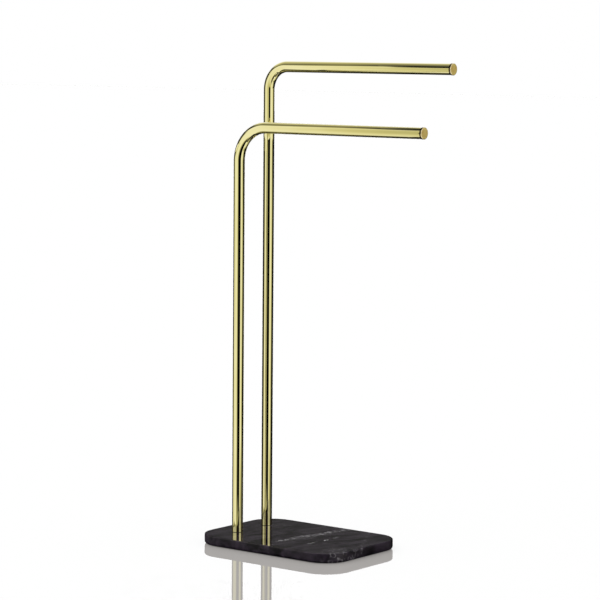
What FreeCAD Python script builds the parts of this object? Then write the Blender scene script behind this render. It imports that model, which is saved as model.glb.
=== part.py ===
import FreeCAD, Part
import math
import os

from FreeCAD import Vector

# Freestanding towel stand.
# A polished marble plate carries two bent round tubes. Each tube rises as a post and turns once
# into a level arm for a towel: the front arm is the lower one, the rear arm the higher one.
# Each post is clamped to the stone by a screw from beneath, and rubber pads keep the plate off
# the floor. Lengths are in millimetres. +X runs along the arms, +Y to the rear and +Z up. The
# origin is on the floor, in the middle of the whole stand's footprint box.


# ---- Driving dimensions ----

# Marble plate
plate_length = 300.0
plate_width = 208.0
plate_thickness = 17.0
plate_corner_radius = 48.0
plate_top_edge_radius = 1.5
plate_bottom_edge_radius = 4.5

# Rails
tube_diameter = 19.0
tube_wall = 1.2
post_to_plate_end = 47.0
post_spacing = 81.0
front_arm_height = 722.0
rear_arm_height = 825.0
front_bend_radius = 58.0
rear_bend_radius = 40.0
arm_reach = 388.0

# End caps
cap_flange_diameter = 20.0
cap_flange_thickness = 4.0
cap_face_edge_radius = 0.9
cap_back_chamfer = 0.3
cap_plug_length = 14.0
cap_plug_chamfer = 1.0

# Foot inserts, brazed into the lower ends of the tubes
insert_length = 20.0
insert_chamfer = 0.6

# Seat rings between tube and stone
seat_ring_thickness = 0.6
seat_ring_inset = 0.3

# Fixing screws, with a button head and a hexagon socket
screw_diameter = 8.0
screw_engagement = 12.8
screw_tip_chamfer = 1.0
screw_head_diameter = 14.0
screw_head_height = 4.4
screw_head_rim = 0.8
screw_head_flat_diameter = 7.6
screw_socket_width = 5.0
screw_socket_depth = 2.8

# Washers under each screw head
spring_washer_diameter = 14.8
spring_washer_thickness = 2.0
spring_washer_gap = 1.0
spring_washer_slant = 20.0
steel_washer_diameter = 24.0
steel_washer_thickness = 1.6
rubber_washer_diameter = 24.0
rubber_washer_thickness = 1.0

# Screw holes in the stone
screw_head_cover = 1.0
stone_hole_chamfer = 0.5

# Pads under the plate
pad_diameter = 22.0
pad_thickness = 2.8
pad_stand_off = 0.8
pad_inset = 31.0
pad_chamfer = 0.3

# Clearances, each on the radius
tube_fit_clearance = 0.05
thread_clearance = 0.05
washer_clearance = 0.2
screw_hole_clearance = 0.5
counterbore_clearance = 2.0
pad_clearance = 0.15


# ---- Derived places ----

tube_radius = tube_diameter / 2
bore_radius = tube_radius - tube_wall
screw_radius = screw_diameter / 2

# Along X, first from the middle of the plate, then from the middle of the whole stand
post_from_plate = post_to_plate_end - plate_length / 2
arm_end_from_plate = post_from_plate + arm_reach
left_end_from_plate = -plate_length / 2
right_end_from_plate = max(arm_end_from_plate, plate_length / 2)
plate_x = -(left_end_from_plate + right_end_from_plate) / 2
post_x = plate_x + post_from_plate
arm_end_x = plate_x + arm_end_from_plate
tube_end_x = arm_end_x - cap_flange_thickness

# Along Y
front_y = -post_spacing / 2
rear_y = post_spacing / 2

# Along Z, from the floor up
plate_bottom = pad_stand_off
plate_top = plate_bottom + plate_thickness
tube_foot = plate_top + seat_ring_thickness
washer_stack = rubber_washer_thickness + steel_washer_thickness + spring_washer_thickness
counterbore_depth = washer_stack + screw_head_height + screw_head_cover
counterbore_top = plate_bottom + counterbore_depth
screw_head_seat = counterbore_top - washer_stack
screw_length = tube_foot + screw_engagement - screw_head_seat
pad_recess_depth = pad_thickness - pad_stand_off

# Each rail: name, Y of its post, height of its arm, radius of its bend
rails = [
    ("front_rail", front_y, front_arm_height, front_bend_radius),
    ("rear_rail", rear_y, rear_arm_height, rear_bend_radius),
]

# Each pad: name and centre
pad_from_middle_x = plate_length / 2 - pad_inset
pad_from_middle_y = plate_width / 2 - pad_inset
pads = [
    ("pad_front_left", plate_x - pad_from_middle_x, -pad_from_middle_y),
    ("pad_front_right", plate_x + pad_from_middle_x, -pad_from_middle_y),
    ("pad_rear_left", plate_x - pad_from_middle_x, pad_from_middle_y),
    ("pad_rear_right", plate_x + pad_from_middle_x, pad_from_middle_y),
]


# ---- Helpers ----

UP = Vector(0, 0, 1)


def cylinder(radius, height, x, y, z):
    """Upright cylinder with its lower face at height z."""
    return Part.makeCylinder(radius, height, Vector(x, y, z), UP)


def ring(outer_radius, inner_radius, height, x, y, z):
    """Flat upright ring with its lower face at height z."""
    outer = cylinder(outer_radius, height, x, y, z)
    return outer.cut(cylinder(inner_radius, height, x, y, z))


def turned(edges):
    """Solid turned about the Z axis from a closed outline in the XZ plane."""
    outline = Part.Wire(Part.__sortEdges__(edges))
    return Part.Face(outline).revolve(Vector(0, 0, 0), UP, 360)


def line(start, end):
    """Straight edge in the XZ plane between two (radius, height) points."""
    return Part.LineSegment(Vector(start[0], 0, start[1]), Vector(end[0], 0, end[1])).toShape()


def arc(start, middle, end):
    """Round edge in the XZ plane through three (radius, height) points."""
    points = [Vector(radius, 0, height) for radius, height in (start, middle, end)]
    return Part.Arc(*points).toShape()


def lines(points):
    """Straight edges from each (radius, height) point to the next."""
    return [line(start, end) for start, end in zip(points, points[1:])]


def placed(shape, x, y, z):
    """Copy of a shape moved from the origin to a place."""
    copy = shape.copy()
    copy.translate(Vector(x, y, z))
    return copy


def at_both_posts(shape, z):
    """The same fastener once on each post's axis, as two separate solids."""
    return Part.makeCompound([placed(shape, post_x, post_y, z) for post_y in (front_y, rear_y)])


def write(node, shape):
    """Check a sub-part and write it to its STEP file."""
    assert shape.isValid(), node
    shape.exportStep("parts/" + node + ".step")
    print(f"{node}: {len(shape.Solids)} solid(s), {shape.Volume / 1000:.2f} cm3")


# ---- Marble plate ----

def rounded_rectangle(length, width, radius, x, z):
    """Flat rounded rectangle, centred on (x, 0) at height z."""
    half_length = length / 2 - radius
    half_width = width / 2 - radius
    corners = [(half_length, half_width, 0), (-half_length, half_width, 90),
               (-half_length, -half_width, 180), (half_length, -half_width, 270)]
    arcs = []
    for corner_x, corner_y, first in corners:
        centre = Vector(x + corner_x, corner_y, z)
        arcs.append(Part.makeCircle(radius, centre, UP, first, first + 90))
    edges = []
    for number, edge in enumerate(arcs):
        following = arcs[(number + 1) % len(arcs)]
        start = edge.valueAt(edge.LastParameter)
        end = following.valueAt(following.FirstParameter)
        edges.append(edge)
        edges.append(Part.LineSegment(start, end).toShape())
    return Part.Face(Part.Wire(edges))


def edges_at(shape, z):
    """Edges of a shape that lie wholly at height z."""
    level = []
    for edge in shape.Edges:
        box = edge.BoundBox
        if abs(box.ZMin - z) < 1e-6 and abs(box.ZMax - z) < 1e-6:
            level.append(edge)
    return level


def post_hole(post_y):
    """Screw hole with its counterbore from beneath and a chamfer at the top."""
    hole_radius = screw_radius + screw_hole_clearance
    widest_washer = max(steel_washer_diameter, rubber_washer_diameter, screw_head_diameter)
    hole = cylinder(hole_radius, plate_thickness, post_x, post_y, plate_bottom)
    counterbore = cylinder(widest_washer / 2 + counterbore_clearance, counterbore_depth,
                           post_x, post_y, plate_bottom)
    chamfer = Part.makeCone(hole_radius, hole_radius + stone_hole_chamfer, stone_hole_chamfer,
                            Vector(post_x, post_y, plate_top - stone_hole_chamfer), UP)
    return [hole, counterbore, chamfer]


def marble_plate():
    """Stone plate with rounded edges, two screw holes and four pad recesses."""
    outline = rounded_rectangle(plate_length, plate_width, plate_corner_radius,
                                plate_x, plate_bottom)
    plate = outline.extrude(UP * plate_thickness)
    plate = plate.makeFillet(plate_bottom_edge_radius, edges_at(plate, plate_bottom))
    plate = plate.makeFillet(plate_top_edge_radius, edges_at(plate, plate_top))
    cuts = post_hole(front_y) + post_hole(rear_y)
    for _, x, y in pads:
        recess_radius = pad_diameter / 2 + pad_clearance
        cuts.append(cylinder(recess_radius, pad_recess_depth, x, y, plate_bottom))
    return plate.cut(cuts)


# ---- Rails ----

def bent_rod(radius, post_y, arm_z, bend_radius):
    """Solid round bar: post, quarter bend and arm, fused end to end."""
    bend_z = arm_z - bend_radius
    bend_x = post_x + bend_radius
    post = cylinder(radius, bend_z - tube_foot, post_x, post_y, tube_foot)
    section = Part.Face(Part.Wire(Part.makeCircle(radius, Vector(post_x, post_y, bend_z), UP)))
    bend = section.revolve(Vector(bend_x, post_y, bend_z), Vector(0, 1, 0), 90)
    arm = Part.makeCylinder(radius, tube_end_x - bend_x, Vector(bend_x, post_y, arm_z),
                            Vector(1, 0, 0))
    return post.fuse([bend, arm])


def rail(post_y, arm_z, bend_radius):
    """One bent tube, open at its foot and at its arm's end."""
    outside = bent_rod(tube_radius, post_y, arm_z, bend_radius)
    inside = bent_rod(bore_radius, post_y, arm_z, bend_radius)
    return outside.cut(inside)


def end_cap(post_y, arm_z):
    """Turned cap: a disc that closes the tube's end and a plug inside its bore."""
    plug_radius = bore_radius - tube_fit_clearance
    flange_radius = cap_flange_diameter / 2
    face = cap_flange_thickness
    round_centre = (flange_radius - cap_face_edge_radius, face - cap_face_edge_radius)
    diagonal = cap_face_edge_radius * math.sqrt(0.5)
    edges = lines([
        (round_centre[0], face),
        (0, face),
        (0, -cap_plug_length),
        (plug_radius - cap_plug_chamfer, -cap_plug_length),
        (plug_radius, cap_plug_chamfer - cap_plug_length),
        (plug_radius, 0),
        (flange_radius - cap_back_chamfer, 0),
        (flange_radius, cap_back_chamfer),
        (flange_radius, round_centre[1]),
    ])
    edges.append(arc((flange_radius, round_centre[1]),
                     (round_centre[0] + diagonal, round_centre[1] + diagonal),
                     (round_centre[0], face)))
    cap = turned(edges)
    cap.rotate(Vector(0, 0, 0), Vector(0, 1, 0), 90)
    return placed(cap, tube_end_x, post_y, arm_z)


def foot_insert(post_y):
    """Steel plug with a tapped hole, flush with the foot of the tube."""
    radius = bore_radius - tube_fit_clearance
    hole_radius = screw_radius + thread_clearance
    top = insert_length
    edges = lines([
        (hole_radius + insert_chamfer, 0),
        (radius, 0),
        (radius, top - insert_chamfer),
        (radius - insert_chamfer, top),
        (hole_radius, top),
        (hole_radius, insert_chamfer),
        (hole_radius + insert_chamfer, 0),
    ])
    return placed(turned(edges), post_x, post_y, tube_foot)


def seat_ring(post_y):
    """Thin ring that keeps the metal off the polished stone."""
    return ring(tube_radius - seat_ring_inset, screw_radius + screw_hole_clearance,
                seat_ring_thickness, post_x, post_y, plate_top)


# ---- Fasteners beneath the plate ----

def dome_centre_height(rim_radius, rim_z, flat_radius, flat_z):
    """Height on the Z axis of the centre of the ball that meets both circles."""
    return (flat_radius**2 - rim_radius**2 + flat_z**2 - rim_z**2) / (2 * (flat_z - rim_z))


def fixing_screw():
    """Button head screw, pointing up, with the underside of its head at the origin."""
    head_radius = screw_head_diameter / 2
    flat_radius = screw_head_flat_diameter / 2
    dome_centre = dome_centre_height(head_radius, -screw_head_rim, flat_radius,
                                     -screw_head_height)
    dome_radius = math.hypot(head_radius, -screw_head_rim - dome_centre)
    middle_radius = (head_radius + flat_radius) / 2
    dome_middle = (middle_radius, dome_centre - math.sqrt(dome_radius**2 - middle_radius**2))
    edges = lines([
        (flat_radius, -screw_head_height),
        (0, -screw_head_height),
        (0, screw_length),
        (screw_radius - screw_tip_chamfer, screw_length),
        (screw_radius, screw_length - screw_tip_chamfer),
        (screw_radius, 0),
        (head_radius, 0),
        (head_radius, -screw_head_rim),
    ])
    edges.append(arc((head_radius, -screw_head_rim), dome_middle,
                     (flat_radius, -screw_head_height)))
    socket = hexagon_prism(screw_socket_width, screw_socket_depth, -screw_head_height)
    return turned(edges).cut(socket)


def hexagon_prism(width_across_flats, height, z):
    """Upright hexagonal prism on the Z axis with its lower face at height z."""
    corner_radius = width_across_flats / math.sqrt(3)
    corners = []
    for number in range(7):
        angle = math.radians(60 * number)
        corners.append(Vector(corner_radius * math.cos(angle), corner_radius * math.sin(angle), z))
    return Part.Face(Part.makePolygon(corners)).extrude(UP * height)


def spring_washer():
    """Split ring with a slanted gap, its lower face at the origin."""
    outer_radius = spring_washer_diameter / 2
    washer = ring(outer_radius, screw_radius + washer_clearance, spring_washer_thickness, 0, 0, 0)
    slot_height = 2 * spring_washer_thickness
    slot = Part.makeBox(2 * outer_radius, spring_washer_gap, 2 * slot_height,
                        Vector(0, -spring_washer_gap / 2, -slot_height))
    slot.rotate(Vector(0, 0, 0), Vector(1, 0, 0), spring_washer_slant)
    slot.translate(Vector(0, 0, spring_washer_thickness / 2))
    return washer.cut(slot)


def flat_washer(diameter, thickness):
    """Plain washer, its lower face at the origin."""
    return ring(diameter / 2, screw_radius + washer_clearance, thickness, 0, 0, 0)


# ---- Pads ----

def pad(x, y):
    """Round rubber pad in its recess, with a small chamfer on the floor side."""
    radius = pad_diameter / 2
    edges = lines([
        (0, 0),
        (radius - pad_chamfer, 0),
        (radius, pad_chamfer),
        (radius, pad_thickness),
        (0, pad_thickness),
        (0, 0),
    ])
    return placed(turned(edges), x, y, 0)


# ---- The whole stand ----

os.makedirs("parts", exist_ok=True)

write("marble_plate", marble_plate())

for rail_name, rail_y, rail_arm_z, rail_bend_radius in rails:
    write(rail_name, rail(rail_y, rail_arm_z, rail_bend_radius))
    write(rail_name + "_end_cap", end_cap(rail_y, rail_arm_z))
    write(rail_name + "_foot_insert", foot_insert(rail_y))
    write(rail_name + "_seat_ring", seat_ring(rail_y))

steel_washer = flat_washer(steel_washer_diameter, steel_washer_thickness)
rubber_washer = flat_washer(rubber_washer_diameter, rubber_washer_thickness)
steel_washer_z = screw_head_seat + spring_washer_thickness
write("fixing_screws", at_both_posts(fixing_screw(), screw_head_seat))
write("spring_washers", at_both_posts(spring_washer(), screw_head_seat))
write("steel_washers", at_both_posts(steel_washer, steel_washer_z))
write("rubber_washers", at_both_posts(rubber_washer, steel_washer_z + steel_washer_thickness))

for pad_name, pad_x, pad_y in pads:
    write(pad_name, pad(pad_x, pad_y))
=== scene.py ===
# %% [markdown]
# # A towel stand of bent brass tube on a marble plate
# The real object is a freestanding stand for two bath towels. Two brass tubes rise from a plate
# of polished black stone, turn once and end as level arms, the rear one higher than the front one.
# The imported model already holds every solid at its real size, so this script only dresses it. It
# starts by loading that model as a fixed frame, and it keeps the box that the solids fill.

# %% Load the frame
import bpy
import numpy as np
from mathutils import Matrix, Vector


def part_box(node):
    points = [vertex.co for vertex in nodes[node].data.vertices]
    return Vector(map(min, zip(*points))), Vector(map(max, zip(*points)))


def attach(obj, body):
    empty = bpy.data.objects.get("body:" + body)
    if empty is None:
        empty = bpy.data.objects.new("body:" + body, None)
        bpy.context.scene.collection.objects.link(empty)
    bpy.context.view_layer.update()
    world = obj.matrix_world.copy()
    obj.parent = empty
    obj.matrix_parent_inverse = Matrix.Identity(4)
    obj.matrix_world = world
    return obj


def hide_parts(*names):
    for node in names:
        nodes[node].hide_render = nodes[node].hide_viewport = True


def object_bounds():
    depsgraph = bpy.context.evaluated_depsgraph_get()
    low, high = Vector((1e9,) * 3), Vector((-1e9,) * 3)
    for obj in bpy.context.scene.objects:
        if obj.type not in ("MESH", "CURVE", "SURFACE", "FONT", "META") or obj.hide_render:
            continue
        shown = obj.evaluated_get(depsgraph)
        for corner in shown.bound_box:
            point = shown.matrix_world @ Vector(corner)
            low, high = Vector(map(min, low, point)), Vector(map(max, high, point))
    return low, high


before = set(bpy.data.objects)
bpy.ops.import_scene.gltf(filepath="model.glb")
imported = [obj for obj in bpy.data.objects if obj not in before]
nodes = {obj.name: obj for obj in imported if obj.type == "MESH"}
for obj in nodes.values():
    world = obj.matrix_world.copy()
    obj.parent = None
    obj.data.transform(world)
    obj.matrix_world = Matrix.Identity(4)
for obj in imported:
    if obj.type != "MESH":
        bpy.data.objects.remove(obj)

cad_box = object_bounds()
print("nodes loaded:", len(nodes))
print("their box in metres:", [tuple(round(v, 4) for v in corner) for corner in cad_box])

# %% [markdown]
# ## The camera
# A photograph is matched by finding where its camera stood, not by bending the object. The stand's
# long straight edges fix the viewing direction, and the way they draw together fixes the distance.
# The camera stands to the right of the front, looks down a little and is rolled by under half a
# degree. Three directions at right angles make its rotation: right, up, and back along the view.

# %% Place the camera
camera_turn = 0.66220604       # to the right of straight ahead, in radians
camera_pitch = 0.10317004      # down from level
camera_roll = 0.00746766       # turns the picture clockwise
camera_place = Vector((2.584154, -3.401329, 0.874194))
lens_mm = 151.76

level_right = Vector((np.cos(camera_turn), np.sin(camera_turn), 0))
level_ahead = Vector((-np.sin(camera_turn), np.cos(camera_turn), 0))
straight_up = Vector((0, 0, 1))
ahead = np.cos(camera_pitch) * level_ahead - np.sin(camera_pitch) * straight_up
above = np.cos(camera_pitch) * straight_up + np.sin(camera_pitch) * level_ahead
rolled_right = np.cos(camera_roll) * level_right + np.sin(camera_roll) * above
rolled_up = np.cos(camera_roll) * above - np.sin(camera_roll) * level_right

lens = bpy.data.cameras.new("camera")
lens.lens = lens_mm
camera = bpy.data.objects.new("camera", lens)
turned_axes = Matrix((rolled_right, rolled_up, -ahead)).transposed()
camera.matrix_world = Matrix.Translation(camera_place) @ turned_axes.to_4x4()
bpy.context.scene.collection.objects.link(camera)
bpy.context.scene.camera = camera
middle = (Vector(cad_box[0]) + Vector(cad_box[1])) / 2
print("camera to the middle of the stand:", round((camera_place - middle).length, 3), "m")

# %% [markdown]
# ## Three small helpers for meshes
# Every new piece here is a skin: points worked out on a grid and joined by four-cornered faces. A
# grid that closes on itself round the piece has no seam. A closed skin also has a volume, and its
# sign says whether the faces point outwards, so each piece is measured as soon as it is made.

# %% Helpers for meshes
sharp_from = np.radians(32)


def skin_faces(rows, columns, close_rows):
    """Quads between grid neighbours. Columns always close on themselves, rows only on request."""
    row = np.arange(rows if close_rows else rows - 1)[:, None]
    column = np.arange(columns)[None, :]
    next_row, next_column = (row + 1) % rows, (column + 1) % columns
    corners = [row * columns + column, row * columns + next_column,
               next_row * columns + next_column, next_row * columns + column]
    return np.stack(corners, axis=-1).reshape(-1, 4)


def enclosed_volume(points, quads):
    """Each face's two triangles span a thin pyramid with the origin: the sum of their volumes."""
    a, b, c, d = (points[quads[:, k]] for k in range(4))
    halves = np.einsum("ij,ij->i", a, np.cross(b, c)) + np.einsum("ij,ij->i", a, np.cross(c, d))
    return halves.sum() / 6


def lay_skin(name, points, quads, stands_for, carried=None):
    """Makes the piece in place of its solid. Patterns read carried, a vector at each point."""
    volume = enclosed_volume(points, quads)
    if volume < 0:
        quads, volume = quads[:, ::-1], -volume
    without_repeats = [list(dict.fromkeys(quad)) for quad in quads.tolist()]
    mesh = bpy.data.meshes.new(name)
    mesh.from_pydata(points.tolist(), [], without_repeats)
    mesh.shade_smooth()
    mesh.set_sharp_from_angle(angle=sharp_from)
    if carried is not None:
        kept = mesh.attributes.new("worked", "FLOAT_VECTOR", "POINT")
        kept.data.foreach_set("vector", carried.astype(np.float32).ravel())
    piece = bpy.data.objects.new(name, mesh)
    bpy.context.scene.collection.objects.link(piece)
    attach(piece, "root")
    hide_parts(stands_for)
    print(f"{name}: {len(mesh.polygons)} faces, {volume * 1e6:.2f} cm3")
    return piece

# %% [markdown]
# ## The two bent tubes
# A real rail is one round tube, drawn straight and bent cold over a former. A polished tube shows
# every facet in its reflections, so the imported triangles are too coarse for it. A curve object with
# a bevel would do, but a circle carried along a computed line keeps the exact radius and leaves a
# record of each point on the tube before it was bent. Patterns read that record, so the polishing
# lines follow the bend. The wall is real: the skin runs out along the outside and back inside.

# %% Sizes of the rails
mm = 0.001
tube_radius, bore_radius = 9.5 * mm, 8.3 * mm
post_x, tube_foot, tube_end = -170.5 * mm, 18.4 * mm, 213.5 * mm
# Each rail: its place from front to rear, the height of its arm and the radius of its bend.
rails = {"front_rail": (-40.5 * mm, 722 * mm, 58 * mm), "rear_rail": (40.5 * mm, 825 * mm, 40 * mm)}
points_round, post_rows, bend_rows, arm_rows = 96, 40, 72, 24
around = np.linspace(0, 2 * np.pi, points_round, endpoint=False)
for rail_name, (rail_y, arm_z, bend) in rails.items():
    top_in_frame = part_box(rail_name)[1][2]
    top_here = arm_z + tube_radius
    print(rail_name, "top in the frame:", round(top_in_frame, 4), "here:", round(top_here, 4))


# %% Centre line of a bent tube
def bent_line(arm_z, bend):
    """Straight up, a quarter circle, then level: gives x, z, the lean from upright, the length."""
    post = np.linspace(tube_foot, arm_z - bend, post_rows)[:-1]
    lean = np.linspace(0, np.pi / 2, bend_rows)
    arm = np.linspace(post_x + bend, tube_end, arm_rows)[1:]
    x = np.concatenate([np.full(post.size, post_x), post_x + bend - bend * np.cos(lean), arm])
    z = np.concatenate([post, arm_z - bend + bend * np.sin(lean), np.full(arm.size, arm_z)])
    lean = np.concatenate([np.zeros(post.size), lean, np.full(arm.size, np.pi / 2)])
    steps = np.hypot(np.diff(x), np.diff(z))
    return x, z, lean, np.concatenate([[0], np.cumsum(steps)])


# %% Carry the circle along the line
def tube_skin(rail_y, arm_z, bend):
    """Point = line + radius * (cos a * inward + sin a * sideways), outside first, then inside."""
    x, z, lean, length = bent_line(arm_z, bend)
    there_and_back = np.concatenate([np.arange(x.size), np.arange(x.size)[::-1]])
    radius = np.repeat([tube_radius, bore_radius], x.size)[:, None]
    x, z, lean, length = (v[there_and_back][:, None] for v in (x, z, lean, length))
    inward, sideways = radius * np.cos(around), radius * np.sin(around)
    points = np.stack([x + inward * np.cos(lean), rail_y + sideways,
                       z - inward * np.sin(lean)], axis=-1)
    before_bending = np.stack([inward, sideways, length + 0 * inward], axis=-1)
    return points.reshape(-1, 3), before_bending.reshape(-1, 3), x.size


# %% Make both rails
tubes = {}
for rail_name, (rail_y, arm_z, bend) in rails.items():
    points, before_bending, rows = tube_skin(rail_y, arm_z, bend)
    quads = skin_faces(rows, around.size, close_rows=True)
    tubes[rail_name] = lay_skin("brass_" + rail_name, points, quads, rail_name,
                                before_bending)

# %% [markdown]
# ## Turned pieces: end caps and seat rings
# A turned piece is a profile carried round an axis. The profile is a list of radius and height, so
# a rounded rim is a few more points on a quarter circle. Where the profile starts and ends on the
# axis, all points of that row fall together, and the faces there are given three corners, which
# closes the pole. Close beside each rounding there is one more row, so that flat faces stay flat.

# %% Carry a profile round an axis
def turned_grid(profile):
    """Point = (radius * cos a, radius * sin a, height), one row for each point of the profile."""
    radius, height = np.asarray(profile, float).T[:, :, None]
    return np.stack([radius * np.cos(around), radius * np.sin(around),
                     height + 0 * around], axis=-1)


def close_poles(quads, points):
    """Rows that lie on the axis use their first point for all their corners."""
    on_axis = np.hypot(points[:, 0], points[:, 1]) < 1e-9
    first = np.arange(len(points)) // around.size * around.size
    return np.where(on_axis[quads], first[quads], quads)


def rounded(centre, size, start, end, steps=9):
    """Points of an arc in the profile: centre + size * (cos t, sin t), with t in degrees."""
    t = np.radians(np.linspace(start, end, steps))
    return np.stack([centre[0] + size * np.cos(t), centre[1] + size * np.sin(t)], axis=-1)


# %% End caps
flange_radius, flange_depth, plug_radius, plug_depth = 10 * mm, 4 * mm, 8.25 * mm, 14 * mm
face_round, back_round, plug_round = 0.9 * mm, 0.3 * mm, 1.0 * mm
cap_profile = np.concatenate([
    [(radius * mm, flange_depth) for radius in (0, 4, 8, 9)],
    rounded((flange_radius - face_round, flange_depth - face_round), face_round, 90, 0),
    [(flange_radius, height * mm) for height in (2.9, 1.6, 0.4)],
    rounded((flange_radius - back_round, back_round), back_round, 0, -90, 5),
    [(plug_radius + 0.1 * mm, 0), (plug_radius, 0), (plug_radius, plug_round - plug_depth),
     (plug_radius - plug_round, -plug_depth), (0, -plug_depth)],
])
caps = {}
for rail_name, (rail_y, arm_z, bend) in rails.items():
    local = turned_grid(cap_profile).reshape(-1, 3)
    quads = close_poles(skin_faces(len(cap_profile), around.size, close_rows=False), local)
    across, upward, outward = local.T
    placed = np.stack([tube_end + outward, rail_y + across, arm_z + upward], axis=-1)
    caps[rail_name] = lay_skin("brass_" + rail_name + "_cap", placed, quads, rail_name + "_end_cap",
                               local)

# %% Seat rings
seat_outer, seat_inner, seat_low, seat_high = 9.2 * mm, 4.5 * mm, 17.8 * mm, 18.4 * mm
soft_edge = 0.15 * mm
corners = [(seat_outer - soft_edge, seat_high - soft_edge, 90, 0),
           (seat_outer - soft_edge, seat_low + soft_edge, 0, -90),
           (seat_inner + soft_edge, seat_low + soft_edge, -90, -180),
           (seat_inner + soft_edge, seat_high - soft_edge, 180, 90)]
seat_profile = np.concatenate([rounded((radius, height), soft_edge, start, end, 5)
                               for radius, height, start, end in corners])
seats = {}
for rail_name, (rail_y, arm_z, bend) in rails.items():
    local = turned_grid(seat_profile).reshape(-1, 3)
    quads = skin_faces(len(seat_profile), around.size, close_rows=True)
    seats[rail_name] = lay_skin("rubber_" + rail_name + "_seat", local + (post_x, rail_y, 0), quads,
                                rail_name + "_seat_ring")

# %% [markdown]
# ## Small words for materials
# A material is a tree of nodes. Placing each node by hand hides what the tree does, so a few short
# helpers stand for the usual moves: add a node with its inputs, stretch a value from one range to
# another, mix two colours, and start a group. An effect that several materials share is built once
# as a group with named inputs, and it only gives out values that change over the surface.

# %% Helpers for node trees
def put(tree, kind, inputs=(), **settings):
    """Adds a node. An input is a number, a colour or another node's output, by name or number."""
    made = tree.nodes.new("ShaderNode" + kind)
    for key, value in settings.items():
        setattr(made, key, value)
    for key, value in dict(inputs).items():
        if isinstance(value, bpy.types.NodeSocket):
            tree.links.new(value, made.inputs[key])
        else:
            made.inputs[key].default_value = value
    return made


def stretch(tree, value, low, high, to_low=0.0, to_high=1.0, smooth=False):
    """Takes low..high to to_low..to_high and holds it there beyond both ends."""
    kind = "SMOOTHSTEP" if smooth else "LINEAR"
    inputs = {"Value": value, "From Min": low, "From Max": high,
              "To Min": to_low, "To Max": to_high}
    return put(tree, "MapRange", inputs, interpolation_type=kind, clamp=True).outputs[0]


def work_out(tree, operation, first, second=0.0):
    """One operation on two values, such as ADD or MULTIPLY."""
    return put(tree, "Math", {0: first, 1: second}, operation=operation).outputs[0]


def mix_colours(tree, share, first, second):
    """share 0 gives the first colour and 1 the second."""
    inputs = {0: share, 6: first, 7: second}
    return put(tree, "Mix", inputs, data_type="RGBA").outputs[2]


def cloud(tree, vector, scale, detail=2.0, rough=0.5, wander=0.0):
    """Soft noise between 0 and 1, with scale in patches per metre."""
    inputs = {"Vector": vector, "Scale": scale, "Detail": detail, "Roughness": rough,
              "Distortion": wander}
    return put(tree, "TexNoise", inputs).outputs["Fac"]


# %% Helpers for groups and materials
def start_group(name, takes, gives):
    """A new group, with the default of each number that it takes and the names that it gives."""
    tree = bpy.data.node_groups.new(name, "ShaderNodeTree")
    tree.interface.new_socket("Vector", in_out="INPUT", socket_type="NodeSocketVector")
    for key, value in takes.items():
        socket = tree.interface.new_socket(key, in_out="INPUT", socket_type="NodeSocketFloat")
        socket.default_value = value
    for key in gives:
        tree.interface.new_socket(key, in_out="OUTPUT", socket_type="NodeSocketFloat")
    return tree, tree.nodes.new("NodeGroupInput").outputs, tree.nodes.new("NodeGroupOutput").inputs


def use_group(tree, group, inputs):
    """Places a group in a material with its own values, and gives its outputs."""
    return put(tree, "Group", inputs, node_tree=group).outputs


def start_material(name):
    """A new material with its tree and the inputs of its Principled shader."""
    material = bpy.data.materials.new(name)
    material.use_nodes = True
    tree = material.node_tree
    tree.nodes.clear()
    shader = put(tree, "BsdfPrincipled")
    put(tree, "OutputMaterial", {"Surface": shader.outputs[0]})
    return material, tree, shader.inputs


def own_place(tree):
    """The object's own coordinates, which are the stand's coordinates in metres."""
    return put(tree, "TexCoord").outputs["Object"]


def bump(tree, shader, height, depth, strength=1.0):
    """Lets a height from 0 to 1 stand out by depth, in metres."""
    inputs = {"Height": height, "Distance": depth, "Strength": strength}
    tree.links.new(put(tree, "Bump", inputs).outputs[0], shader["Normal"])


def dress(material, *pieces):
    """Gives the pieces this one material in every slot."""
    for piece in pieces:
        if not piece.data.materials:
            piece.data.materials.append(material)
        for used in piece.material_slots:
            used.link = "OBJECT"
            used.material = material
    print(material.name, "on", ", ".join(piece.name for piece in pieces))

# %% [markdown]
# ## Shared effects
# Three effects are needed more than once. Worked metal has hairlines from the polishing belt and
# places that hands have dulled a little, on tubes, caps and fixings. Fine grain is the tooth of
# rubber and of stone. A vein is a line that wanders and breaks up, and the stone holds several.

# %% Worked metal
worked_metal, taken, given = start_group(
    "worked_metal", {"Hairlines": 2600.0, "Patches": 14.0, "Gloss": 0.05, "Dulled": 0.1},
    ["Height", "Roughness", "Patch"])
hair = cloud(worked_metal, taken["Vector"], taken["Hairlines"], detail=3.0)
patch = cloud(worked_metal, taken["Vector"], taken["Patches"], detail=3.0, wander=0.4)
patch = stretch(worked_metal, patch, 0.35, 0.68, smooth=True)
from_hair, from_patch = 0.35, 0.65
share = work_out(worked_metal, "ADD", work_out(worked_metal, "MULTIPLY", hair, from_hair),
                 work_out(worked_metal, "MULTIPLY", patch, from_patch))
spread = work_out(worked_metal, "SUBTRACT", taken["Dulled"], taken["Gloss"])
rough = work_out(worked_metal, "MULTIPLY", share, spread)
rough = work_out(worked_metal, "ADD", taken["Gloss"], rough)
for key, value in {"Height": hair, "Roughness": rough, "Patch": patch}.items():
    worked_metal.links.new(value, given[key])
print("group worked_metal:", len(worked_metal.nodes), "nodes")

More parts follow.
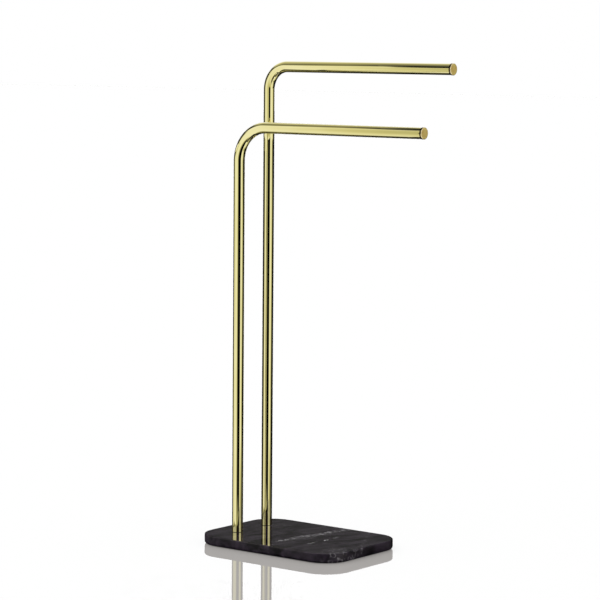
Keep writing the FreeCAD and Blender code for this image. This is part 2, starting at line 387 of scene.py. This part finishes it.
# %% Fine grain
fine_grain, taken, given = start_group("fine_grain", {"Grains": 4000.0, "Patches": 60.0},
                                       ["Height", "Patch"])
grain = cloud(fine_grain, taken["Vector"], taken["Grains"], detail=4.0, rough=0.6)
patch = cloud(fine_grain, taken["Vector"], taken["Patches"], detail=4.0)
patch = stretch(fine_grain, patch, 0.35, 0.7)
fine_grain.links.new(grain, given["Height"])
fine_grain.links.new(patch, given["Patch"])
print("group fine_grain:", len(fine_grain.nodes), "nodes")

# %% A vein in stone
stone_vein, taken, given = start_group(
    "stone_vein", {"Turn": 0.0, "Place": 0.0, "Width": 0.002, "Wander": 0.01, "Wiggles": 12.0,
                   "Broken": 0.5, "Grain": 150.0}, ["Vein"])
turn = put(stone_vein, "VectorRotate", {"Vector": taken["Vector"], "Angle": taken["Turn"]},
           rotation_type="Z_AXIS")
across = put(stone_vein, "SeparateXYZ", {"Vector": turn.outputs[0]}).outputs[0]
wiggle = cloud(stone_vein, taken["Vector"], taken["Wiggles"], detail=6.0, rough=0.72)
wiggle = work_out(stone_vein, "SUBTRACT", wiggle, 0.5)
wiggle = work_out(stone_vein, "MULTIPLY", wiggle, taken["Wander"])
distance = work_out(stone_vein, "ADD", across, wiggle)
distance = work_out(stone_vein, "SUBTRACT", distance, taken["Place"])
distance = work_out(stone_vein, "ABSOLUTE", distance)
line = stretch(stone_vein, distance, taken["Width"], 0.0, smooth=True)
breaks = cloud(stone_vein, taken["Vector"], taken["Grain"], detail=4.0, rough=0.7)
whole_from = 0.68
kept = stretch(stone_vein, breaks, taken["Broken"], whole_from)
stone_vein.links.new(work_out(stone_vein, "MULTIPLY", line, kept), given["Vein"])
print("group stone_vein:", len(stone_vein.nodes), "nodes")

# %% [markdown]
# ## Polished brass
# The tube is drawn, ground with ever finer belts and buffed to a mirror. The metal has no colour of
# its own beyond what it reflects, so the base colour is what it does to white: a greenish yellow.
# A photograph wrapped round the tube would freeze the reflections. Here the colour drifts slightly
# between a paler and a deeper yellow, and hairlines run along the tube, also round the bend.

# %% Brass of the tubes
brass, tree, shader = start_material("polished_brass")
worked = put(tree, "Attribute", attribute_name="worked").outputs["Vector"]
along = put(tree, "Mapping", {"Vector": worked, "Scale": (1, 1, 0.03)}).outputs[0]
effect = use_group(tree, worked_metal, {"Vector": along, "Hairlines": 2400.0, "Patches": 260.0,
                                        "Gloss": 0.02, "Dulled": 0.055})
drift = stretch(tree, cloud(tree, worked, 9.0, detail=2.0), 0.3, 0.7, smooth=True)
pale_brass, deep_brass = (0.87, 0.81, 0.41, 1), (0.83, 0.76, 0.345, 1)
handled_brass, handled_share = (0.70, 0.62, 0.27, 1), 0.25
handled = work_out(tree, "MULTIPLY", effect["Patch"], handled_share)
colour = mix_colours(tree, drift, pale_brass, deep_brass)
colour = mix_colours(tree, handled, colour, handled_brass)
tree.links.new(colour, shader["Base Color"])
tree.links.new(effect["Roughness"], shader["Roughness"])
shader["Metallic"].default_value = 1.0
shader["Coat Weight"].default_value = 1.0
shader["Coat IOR"].default_value = 1.5
shader["Coat Roughness"].default_value = 0.03
hairline_depth = 0.1e-6
bump(tree, shader, effect["Height"], hairline_depth)
dress(brass, *tubes.values())

# %% [markdown]
# ## Brass of the caps
# The caps are turned on a lathe, so their marks are rings round the axis, and the face is warmer
# and less bright than the tube. The flange's front rim has a pale painted highlight, and its side
# a dark band of painted shade. Rings come from the distance to the axis alone, which each point
# carries with it.

# %% Turned brass
cap_brass, tree, shader = start_material("turned_brass")
warm_brass, yellow_brass = (0.62, 0.44, 0.17, 1), (0.72, 0.58, 0.24, 1)
rim_highlight_brass, painted_shade_brass = (0.95, 0.82, 0.58, 1), (0.05, 0.032, 0.014, 1)
worked = put(tree, "Attribute", attribute_name="worked").outputs["Vector"]
parts = put(tree, "SeparateXYZ", {"Vector": worked}).outputs
flat = put(tree, "CombineXYZ", {"X": parts[0], "Y": parts[1]}).outputs[0]
from_axis = put(tree, "VectorMath", {0: flat}, operation="LENGTH").outputs["Value"]
ring_place = put(tree, "CombineXYZ", {"X": from_axis, "Y": parts[2]}).outputs[0]
effect = use_group(tree, worked_metal, {"Vector": ring_place, "Hairlines": 5200.0, "Patches": 420.0,
                                        "Gloss": 0.16, "Dulled": 0.3})
smear = stretch(tree, cloud(tree, worked, 190.0, detail=3.0), 0.35, 0.65)
colour = mix_colours(tree, smear, warm_brass, yellow_brass)
# Painted highlight: a pale, almost white band on the front rim of the flange.
in_front = stretch(tree, parts[2], 2.9 * mm, 3.2 * mm)
on_rim = stretch(tree, from_axis, 8.8 * mm, 9.3 * mm)
highlight_share = 0.8
painted_rim_highlight = work_out(tree, "MULTIPLY", work_out(tree, "MULTIPLY", in_front, on_rim), highlight_share)
colour = mix_colours(tree, painted_rim_highlight, colour, rim_highlight_brass)
# Painted shade: a near-black band on the side of the flange, behind its rim.
behind_rim = stretch(tree, parts[2], 3.0 * mm, 2.6 * mm)
on_side = stretch(tree, from_axis, 9.6 * mm, 9.9 * mm)
painted_shade_band = work_out(tree, "MULTIPLY", behind_rim, on_side)
colour = mix_colours(tree, painted_shade_band, colour, painted_shade_brass)
tree.links.new(colour, shader["Base Color"])
tree.links.new(effect["Roughness"], shader["Roughness"])
shader["Metallic"].default_value = 1.0
turning_depth = 2e-6
bump(tree, shader, effect["Height"], turning_depth)
dress(cap_brass, *caps.values())

# %% [markdown]
# ## Polished black marble
# The plate is cut from a slab: charcoal with soft clouds, a broken pale vein that starts a little
# behind the front edge and runs to the rear, a few bright dashes beside it and small rings of paler
# mineral near the right front corner. Its top is polished, its edge only honed. A picture of stone
# could be laid on the top, but it would stop at the edge. Here all is read from the object's own
# coordinates, so clouds and rings go on through the edge as they do in stone. The polish is a clear
# coat that the top alone has.

# %% Colour of the marble
marble, tree, shader = start_material("black_marble")
at = own_place(tree)
black, charcoal = (0.0012, 0.0003, 0.0024, 1), (0.042, 0.0300, 0.048, 1)
soft_grey = (0.0165, 0.0122, 0.019, 1)
speck_grey, vein_white = (0.085, 0.075, 0.090, 1), (0.55, 0.53, 0.56, 1)
lie = 0.19
lying = put(tree, "VectorRotate", {"Vector": at, "Angle": lie}, rotation_type="Z_AXIS").outputs[0]
drawn_out = put(tree, "Mapping", {"Vector": lying, "Scale": (1, 0.35, 1)}).outputs[0]
clouds = cloud(tree, drawn_out, 48.0, detail=7.0, rough=0.62, wander=0.6)
clouds = stretch(tree, clouds, 0.40, 0.62)
broad = stretch(tree, cloud(tree, at, 13.0, detail=3.0, wander=0.5), 0.3, 0.7)
specks = stretch(tree, cloud(tree, at, 620.0, detail=3.0, rough=0.7), 0.56, 0.8)
broad_share, speck_share = 0.3, 0.4
stone = mix_colours(tree, clouds, black, charcoal)
stone = mix_colours(tree, work_out(tree, "MULTIPLY", broad, broad_share), stone, soft_grey)
stone = mix_colours(tree, work_out(tree, "MULTIPLY", specks, speck_share), stone, speck_grey)
print("ground of the stone: clouds, broad shades and specks")

# %% Veins
# Each vein: its share, turn, place, width and wander in mm, wiggles in a metre, and its breaks.
veins = [(1.0, 0.19, -52, 6, 22, 45.0, 0.44), (0.8, 0.17, -58, 5, 24, 40.0, 0.46),
         (0.4, 0.19, -49, 13, 16, 24.0, 0.42), (0.35, -0.55, 61, 2.4, 22, 26.0, 0.46),
         (0.45, 0.9, -128, 2.4, 22, 22.0, 0.48)]
place = put(tree, "SeparateXYZ", {"Vector": at}).outputs
behind_front = stretch(tree, place[1], -80 * mm, -50 * mm, smooth=True)
for share, turn, vein_place, width, wander, wiggles, broken in veins:
    values = {"Turn": turn, "Place": vein_place * mm, "Width": width * mm, "Wander": wander * mm,
              "Wiggles": wiggles, "Broken": broken}
    vein = use_group(tree, stone_vein, {"Vector": at, **values})["Vein"]
    vein = work_out(tree, "MULTIPLY", vein, work_out(tree, "MULTIPLY", behind_front, share))
    stone = mix_colours(tree, vein, stone, vein_white)
print("veins:", len(veins))

# %% Bright dashes beside the vein
centred, tear_reach, plate_top = (0.5, 0.5, 0.5), 9 * mm, 17.8 * mm
tear = put(tree, "TexNoise", {"Vector": at, "Scale": 170.0, "Detail": 4.0}).outputs["Color"]
tear = put(tree, "VectorMath", {0: tear, 1: centred}, operation="SUBTRACT").outputs[0]
tear = put(tree, "VectorMath", {0: tear, "Scale": tear_reach}, operation="SCALE").outputs[0]
torn = put(tree, "VectorMath", {0: at, 1: tear}, operation="ADD").outputs[0]
dash_turn, dash_white = 0.12, (0.90, 0.89, 0.91, 1)
# Each dash: its place, half its length and half its width in mm, and its share.
dashes = [(-10, -37, 15, 1.8, 0.30), (-5.5, -2, 7.5, 1.5, 0.85), (-6.5, 27, 10, 3.0, 0.22)]
for dash_x, dash_y, half_length, half_width, share in dashes:
    dash_middle = (dash_x * mm, dash_y * mm, plate_top)
    apart = put(tree, "VectorMath", {0: torn, 1: dash_middle}, operation="SUBTRACT").outputs[0]
    in_line = put(tree, "VectorRotate", {"Vector": apart, "Angle": dash_turn},
                  rotation_type="Z_AXIS").outputs[0]
    narrow = (1 / (half_width * mm), 1 / (half_length * mm), 0)
    scaled = put(tree, "VectorMath", {0: in_line, 1: narrow}, operation="MULTIPLY").outputs[0]
    away = put(tree, "VectorMath", {0: scaled}, operation="LENGTH").outputs["Value"]
    dash = work_out(tree, "MULTIPLY", stretch(tree, away, 1.1, 0.5, smooth=True), share)
    stone = mix_colours(tree, dash, stone, dash_white)
print("bright dashes:", len(dashes))

# %% Rings of paler mineral
ring_middle, ring_share, ring_grey = (72 * mm, -62 * mm, 9 * mm), 0.75, (0.22, 0.205, 0.225, 1)
from_corner = put(tree, "VectorMath", {0: at, 1: ring_middle}, operation="DISTANCE")
near_corner = stretch(tree, from_corner.outputs["Value"], 46 * mm, 22 * mm, smooth=True)
cells = put(tree, "TexVoronoi", {"Vector": torn, "Scale": 88.0, "Randomness": 0.9})
shell_size = 0.40
shell_line = work_out(tree, "SUBTRACT", cells.outputs["Distance"], shell_size)
shell_line = stretch(tree, work_out(tree, "ABSOLUTE", shell_line), 0.12, 0.02, smooth=True)
shell_break = stretch(tree, cloud(tree, at, 120.0, detail=3.0), 0.36, 0.55)
rings = work_out(tree, "MULTIPLY", shell_line, work_out(tree, "MULTIPLY", near_corner, shell_break))
rings = work_out(tree, "MULTIPLY", rings, ring_share)
stone = mix_colours(tree, rings, stone, ring_grey)
tree.links.new(stone, shader["Base Color"])
print("rings round the corner at", ring_middle)

# %% Polish of the marble
on_top = stretch(tree, place[2], 17.55 * mm, 17.78 * mm)
tooth = use_group(tree, fine_grain, {"Vector": at, "Grains": 2600.0, "Patches": 30.0})
honed = stretch(tree, tooth["Patch"], 0.0, 1.0, 0.3, 0.42)
top_gloss = stretch(tree, clouds, 0.0, 1.0, 0.04, 0.09)
gloss = put(tree, "Mix", {0: on_top, 2: honed, 3: top_gloss}, data_type="FLOAT").outputs[0]
tree.links.new(gloss, shader["Roughness"])
coat = work_out(tree, "MULTIPLY", on_top, stretch(tree, clouds, 0.0, 1.0, 0.45, 1.0))
tree.links.new(coat, shader["Coat Weight"])
shader["Specular IOR Level"].default_value = 0.36
shader["Coat Roughness"].default_value = 0.03
shader["Coat IOR"].default_value = 1.6
tooth_depth, tooth_strength = 1.5e-6, 0.6
bump(tree, shader, tooth["Height"], tooth_depth, tooth_strength)
dress(marble, nodes["marble_plate"])

# %% [markdown]
# ## Plated steel and rubber
# The fixings are seen only from beneath. Zinc plating is a thin grey skin, slightly blue and dull,
# and it darkens in patches. The rubber of the pads, washers and seat rings is matt and a little
# dusty: its grain is a bump, and pale dust lightens it in patches. Both read shared groups.

# %% Plated steel
steel, tree, shader = start_material("plated_steel")
at = own_place(tree)
effect = use_group(tree, worked_metal, {"Vector": at, "Hairlines": 1800.0, "Patches": 210.0,
                                        "Gloss": 0.24, "Dulled": 0.46})
fresh_zinc, dull_zinc = (0.60, 0.615, 0.64, 1), (0.47, 0.475, 0.46, 1)
colour = mix_colours(tree, effect["Patch"], fresh_zinc, dull_zinc)
tree.links.new(colour, shader["Base Color"])
tree.links.new(effect["Roughness"], shader["Roughness"])
shader["Metallic"].default_value = 1.0
plating_depth = 6e-6
bump(tree, shader, effect["Height"], plating_depth)
fixings = ["fixing_screws", "spring_washers", "steel_washers", "front_rail_foot_insert",
           "rear_rail_foot_insert"]
dress(steel, *[nodes[name] for name in fixings])

# %% Rubber
rubber, tree, shader = start_material("matt_rubber")
at = own_place(tree)
tooth = use_group(tree, fine_grain, {"Vector": at, "Grains": 3200.0, "Patches": 120.0})
clean_rubber, dusty_rubber = (0.016, 0.016, 0.017, 1), (0.042, 0.042, 0.043, 1)
colour = mix_colours(tree, tooth["Patch"], clean_rubber, dusty_rubber)
tree.links.new(colour, shader["Base Color"])
tree.links.new(stretch(tree, tooth["Patch"], 0.0, 1.0, 0.62, 0.8), shader["Roughness"])
shader["Specular IOR Level"].default_value = 0.35
rubber_depth = 30e-6
bump(tree, shader, tooth["Height"], rubber_depth)
pads = ["pad_front_left", "pad_front_right", "pad_rear_left", "pad_rear_right"]
dress(rubber, nodes["rubber_washers"], *[nodes[name] for name in pads], *seats.values())

# %% [markdown]
# ## The studio
# The stand is photographed on a white, polished floor in front of white. A world of even white
# lights it from all sides, and a soft lamp from above adds a little direction. The floor could be
# plain white paint, but the photograph shows a faint mirror image of the stand in it, so it is
# paint and mirror mixed. Paint and mirrored backdrop add up to white, so bare floor and background
# meet without a line.

# %% White world
world = bpy.data.worlds.new("white_room")
bpy.context.scene.world = world
world.use_nodes = True
tree = world.node_tree
tree.nodes.clear()


def seen_directly(tree):
    """1 for rays that show the background: camera, glossy and transmission rays."""
    path = put(tree, "LightPath").outputs
    mirrored = work_out(tree, "MAXIMUM", path["Is Glossy Ray"], path["Is Transmission Ray"])
    return work_out(tree, "MAXIMUM", path["Is Camera Ray"], mirrored)


# The backdrop is the white that the floor's mirror sees: no other mirror here is perfectly sharp.
sky_light, sun_share, backdrop = 0.75, 0.25, 2.51
strength = stretch(tree, seen_directly(tree), 0.0, 1.0, sky_light, 1.0)
path = put(tree, "LightPath").outputs
in_floor = work_out(tree, "MULTIPLY", path["Is Singular Ray"], path["Is Glossy Ray"])
extra = work_out(tree, "MULTIPLY", in_floor, backdrop - 1)
strength = work_out(tree, "ADD", strength, extra)
sky = put(tree, "Background", {"Color": (1, 1, 1, 1), "Strength": strength})
put(tree, "OutputWorld", {"Surface": sky.outputs[0]})
print("light from the room:", sky_light, "and from the soft lamp:", sun_share)

# %% Soft lamp
lamp_tilt, lamp_turn, lamp_spread = 0.42, -0.5, 1.2
lamp_data = bpy.data.lights.new("soft_lamp", "SUN")
lamp_data.energy = np.pi * sun_share / np.cos(lamp_tilt)
lamp_data.angle = lamp_spread
lamp = bpy.data.objects.new("soft_lamp", lamp_data)
lamp.rotation_euler = (lamp_tilt, 0, lamp_turn)
lamp.visible_glossy = False
bpy.context.scene.collection.objects.link(lamp)
print("lamp tilted by", round(float(np.degrees(lamp_tilt))), "degrees")


# %% Things that belong to the stage
def stage_skin(name, points, quads, material):
    """A piece of the studio from a grid of points. It isn't part of the stand."""
    mesh = bpy.data.meshes.new(name)
    mesh.from_pydata(points.tolist(), [], quads.tolist())
    mesh.materials.append(material)
    thing = bpy.data.objects.new(name, mesh)
    bpy.context.scene.collection.objects.link(thing)
    return thing


# %% Floor
floor_paint = bpy.data.materials.new("white_floor")
floor_paint.use_nodes = True
tree = floor_paint.node_tree
tree.nodes.clear()
mirror_share, glow_share, paint_level = 0.25, 0.5, np.array([0.4, 0.385, 0.372])
paint_white = (*(paint_level / (1 - mirror_share)), 1)
mirror_white = (*((1 - paint_level) / (mirror_share * backdrop)), 1)
glow = put(tree, "Emission", {"Color": paint_white, "Strength": seen_directly(tree)})
paint = put(tree, "BsdfDiffuse", {"Color": paint_white})
white = put(tree, "MixShader", {0: glow_share, 1: glow.outputs[0], 2: paint.outputs[0]})
mirror = put(tree, "BsdfGlossy", {"Color": mirror_white, "Roughness": 0.0})
polished = put(tree, "MixShader", {0: mirror_share, 1: white.outputs[0], 2: mirror.outputs[0]})
put(tree, "OutputMaterial", {"Surface": polished.outputs[0]})
far = 30.0
floor_corners = np.array([(-far, -far, 0), (far, -far, 0), (far, far, 0), (-far, far, 0)])
floor = stage_skin("floor", floor_corners, np.array([[0, 1, 2, 3]]), floor_paint)
floor.visible_glossy = False
print("floor:", 2 * far, "m wide, mirror share", mirror_share)

# %% [markdown]
# ## Paint of the boards
# A shiny tube shows nothing but the room, so the room is made for it: all white, with a few dark
# boards that draw the dark lines on the brass. Boards of real cloth would also shade the stone and
# the floor. These only show in the slightly blurred reflections of brass and stone. They cast no
# shadow, and neither the camera nor the floor's sharp mirror sees them, so the floor stays white.
# Each point of a board has its own level of light, and half-lit parts are a little olive.

# %% Node tree of the paint
board_paint = bpy.data.materials.new("board_paint")
board_paint.use_nodes = True
tree = board_paint.node_tree
tree.nodes.clear()
more_red, less_blue = 0.12, 1.25
level = put(tree, "Attribute", attribute_name="level").outputs["Fac"]
half_lit = work_out(tree, "MULTIPLY", level, work_out(tree, "SUBTRACT", 1.0, level))
red_part = work_out(tree, "ADD", 1.0, work_out(tree, "MULTIPLY", half_lit, more_red))
blue_part = work_out(tree, "SUBTRACT", 1.0, work_out(tree, "MULTIPLY", half_lit, less_blue))
olive = put(tree, "CombineColor", {"Red": work_out(tree, "MULTIPLY", level, red_part),
                                   "Green": level,
                                   "Blue": work_out(tree, "MULTIPLY", level, blue_part)})
grey = put(tree, "Emission", {"Color": olive.outputs[0], "Strength": 1.0})
clear = put(tree, "BsdfTransparent")
sharp = put(tree, "LightPath").outputs["Is Singular Ray"]
mixed = put(tree, "MixShader", {0: sharp, 1: grey.outputs[0], 2: clear.outputs[0]})
put(tree, "OutputMaterial", {"Surface": mixed.outputs[0]})
print("paint nodes:", len(tree.nodes))


# %% Helpers for boards
def board(name, points, level):
    """A board from a grid of points (rows, columns, 3) with a grey level at each of them."""
    rows, columns = points.shape[:2]
    quads = skin_faces(rows, columns, close_rows=False).reshape(rows - 1, columns, 4)[:, :-1]
    made = stage_skin(name, points.reshape(-1, 3), quads.reshape(-1, 4), board_paint)
    greys = made.data.attributes.new("level", "FLOAT", "POINT")
    greys.data.foreach_set("value", np.clip(level, 0, 1).astype(np.float32).ravel())
    made.visible_camera = made.visible_diffuse = made.visible_shadow = False
    made.visible_transmission = made.visible_volume_scatter = False
    print(name, "from level", round(float(np.min(level)), 2), "to", round(float(np.max(level)), 2))


def bent_wall(radius, turn, rise):
    """Point = middle + radius * (cos t towards the camera + sin t to its right) + height."""
    t = np.radians(turn)[..., None]
    outward = np.cos(t) * -np.array(level_ahead) + np.sin(t) * np.array(level_right)
    return np.array([post_x, 0, 0]) + radius * outward + rise[..., None] * np.array([0, 0, 1])


def flat_board(reach, depth, rise):
    """Point = (reach along the arms, depth from front to rear, rise above the floor)."""
    return np.stack(np.broadcast_arrays(reach, depth, rise), axis=-1)


def blend(share, first, second):
    """share 0 gives the first level and 1 the second."""
    return first + share * (second - first)


# %% [markdown]
# ## Boards that the brass shows
# Each dark line on the tubes is the mirror image of something dark in the studio. A round tube
# sees almost the whole room, squeezed sideways: the line at its middle is what stands towards the
# camera, the lines at its edges are what stands to the left and right, far round. So the boards are
# laid out by turn, in degrees round the posts: near boards towards the camera, a left board, and a
# wall behind that grows light to the right. Levels fade, as cloth does in soft light, and that
# shades the brass.

# %% Back wall's right part
wall_glow = 0.06
wall_heights = [-4, -0.45, -0.3, -0.12, -0.05, 0.02, 0.08, 0.16, 0.35, 0.5, 0.6, 0.72]
turn, rise = np.meshgrid(np.arange(36, 301, 4.0), wall_heights)
# Half way up, the wall fades to dark a few degrees later. Below the floor it has other levels.
later = np.interp(rise, [0.16, 0.35, 0.5, 0.6], [0, 4, 6, 0])
right_side = np.interp(turn - later, [50, 62, 72, 82, 91], [1, 0.97, 0.68, 0.18, 0.0])
near_floor = np.interp(turn, [36, 46, 60, 74, 89, 106], [1, 0.8, 0.45, 0.3, 0.08, 0.0])
far_below = np.interp(turn, [60, 90, 120, 140], [1, 0.8, 0.3, 0.0])
right_side = blend(np.clip(-rise / 0.08, 0, 1), right_side, near_floor)
right_side = blend(np.clip((-0.2 - rise) / 0.2, 0, 1), right_side, far_below)
print("the right part is dark from a turn of", turn[-1][right_side[-1] <= 0].min(), "degrees")

# %% Back wall
left_turn = 360 - turn
left_side = np.interp(left_turn, [66, 81, 96], [1, 0.6, 0.0])
left_below = np.interp(left_turn, [112, 124, 140, 158], [1, 0.8, 0.15, 0.0])
left_side = blend(np.clip((-0.15 - rise) / 0.3, 0, 1), left_side, left_below)
by_turn = np.interp(turn, [130, 145], [0, 1])
by_height = np.interp(rise, [-0.05, 0.08, 0.35, 0.5], [0, 1, 1, 0])
wall_level = np.maximum(np.maximum(right_side, left_side), wall_glow * by_turn * by_height)
wall_radius = 1.0
board("back_wall", bent_wall(wall_radius, turn, rise), wall_level)

# %% Wall beside the caps
side_radius = 0.99
turn, rise = np.meshgrid(np.arange(40, 151, 4.0), [0.66, 1.2])
side_level = np.interp(turn, [60, 76, 86, 94, 103], [1, 0.9, 0.75, 0.5, 0.0])
board("side_wall", bent_wall(side_radius, turn, rise), side_level)

# %% Board behind the bends
bend_radius = 0.95
turn, rise = np.meshgrid(np.arange(198, 277, 6.0), [0.6, 1.005])
bend_level = np.interp(turn, [202, 208, 258, 276], [0.2, 0.05, 0.05, 1.0])
board("bend_board", bent_wall(bend_radius, turn, rise), bend_level)

# %% Board to the left
left_x = -330 * mm
depth, rise = np.meshgrid([-0.25, -0.2, -0.165, -0.13, -0.105, -0.085, -0.03, 0.02, 0.10, 0.35],
                          [-0.3, -0.02, 0.03, 0.12, 0.17, 0.4, 0.67])
left_level = np.interp(depth, [-0.2, -0.165, -0.13, -0.105, -0.085], [1, 0.92, 0.70, 0.32, 0.02])
by_depth = np.interp(depth, [0.0, 0.10], [0, 1])
by_height = np.interp(rise, [-0.02, 0.03, 0.12, 0.17], [0.6, 1, 1, 0])
left_level = np.maximum(left_level, wall_glow * by_depth * by_height)
board("left_board", flat_board(left_x, depth, rise), left_level)

# %% Near boards
near_radius, far_radius = 0.35, 0.7
turn, rise = np.meshgrid(np.arange(-36, 25, 2.0), [-0.4, -0.03, 0.03, 0.3, 0.69])
# The board is black, fades out to its left, and is a little lit below the floor's level.
core = np.interp(turn, [-36, -30, -25, -18, -11], [1, 0.8, 0.5, 0.15, 0])
glint = np.interp(rise, [-0.03, 0.03], [0.4, 0.0]) * np.clip((16 - turn) / 12, 0, 1)
board("near_board", bent_wall(near_radius, turn, rise), np.maximum(core, glint))
turn, rise = np.meshgrid(np.arange(8, 36, 1.0), [-0.4, 0.69])
board("far_board", bent_wall(far_radius, turn, rise), np.interp(turn, [30, 34], [0, 1]))

# %% [markdown]
# ## Boards that the arms show
# The level arms see other things than the posts: their upper half looks up and to the front, their
# lower half down and to the front. So a hood stands round them: a tray below, a panel in front and
# a roof above. The panel's right end is dark for the core of the rear post's top, and a slat
# darkens the line at the rear arm's end. An apron lies under the plate's front and keeps the honed
# edge of the stone dark.

# %% Tray and front of the hood
tray_z, front_y = 0.695, -0.30
hood_path = [(depth, tray_z) for depth in (-0.055, -0.075, -0.11, -0.18, -0.25, front_y)]
hood_path = np.array(hood_path + [(front_y, height) for height in (0.80, 0.90, 0.96)])
reach, row = np.meshgrid([-0.5, -0.4, -0.3, -0.2, -0.1, 0.0, 0.1, 0.2, 0.5],
                         np.arange(len(hood_path)))
depth, rise = hood_path[row, 0], hood_path[row, 1]
darker = np.interp(reach - depth + 0.03, [0.0, 0.3], [0.0, 0.42])
darker = darker * np.interp(depth, [-0.11, -0.05], [1, 0.3])
board("hood_front", flat_board(reach, depth, rise), 1 - darker)

# %% Dark end of the hood's front
end_y = front_y + 2 * mm
reach, rise = np.meshgrid([0.036, 0.50, 0.60], [0.70, 0.86])
board("hood_end", flat_board(reach, end_y, rise), np.interp(reach, [0.50, 0.60], [0, 1]))

# %% Roof of the hood
roof_z = 1010 * mm
reach, depth = np.meshgrid(
    [-1.2, -0.62, -0.47, -0.38, -0.3, -0.24, -0.17, -0.1, -0.04, 0.4],
    [-0.30, -0.26, -0.22, -0.17, -0.13, -0.10, -0.07, -0.045, 0.0, 0.04, 0.09, 0.19, 0.26])
slant = np.interp(reach, [-0.38, -0.24], [-0.06, 0.0])
roof_level = np.interp(
    depth - slant,
    [-0.30, -0.22, -0.17, -0.13, -0.07, -0.045, 0.04, 0.10, 0.19, 0.24],
    [0.72, 0.50, 0.28, 0.16, 0.20, 0.36, 0.50, 0.66, 0.93, 1.0])
roof_level = roof_level ** np.interp(reach, [-0.17, -0.04], [1.0, 1.6])
roof_level = roof_level * np.interp(reach, [-0.62, -0.47], [0.06, 1.0])
right_part = np.interp(reach, [-0.17, -0.10], [0.0, 1.0])
front_part = np.interp(depth, [-0.13, -0.10], [1.0, 0.0])
corner_shade = 0.5
roof_level = roof_level * (1 - corner_shade * right_part * front_part)
board("hood_roof", flat_board(reach, depth, roof_z), roof_level)

# %% Slat over the rear arm's end
slat_z, edge_level = 870 * mm, 0.08
reach, depth = np.meshgrid([0.03, 0.07, 0.10, 0.20], [-0.070, -0.058, -0.010, 0.0])
on_edge = (depth == depth.min()) | (depth == depth.max())
slat_level = np.interp(reach, [0.03, 0.07, 0.10], [0.3, 0.08, 0.0]) + edge_level * on_edge
board("end_slat", flat_board(reach, depth, slat_z), slat_level)

# %% Apron round the plate
apron_z = -5 * mm
reach, depth = np.meshgrid([-0.32, 0.13], [-0.24, -0.20, -0.17, 0.1])
apron_level = np.interp(depth, [-0.24, -0.17], [0.5, 0])
board("apron", flat_board(reach, depth, apron_z), apron_level)

# %% [markdown]
# ## The view
# The view settings stay plain, so that a colour comes out about as it is written.

# %% Settle the view and finish
bpy.context.scene.view_settings.view_transform = "Standard"
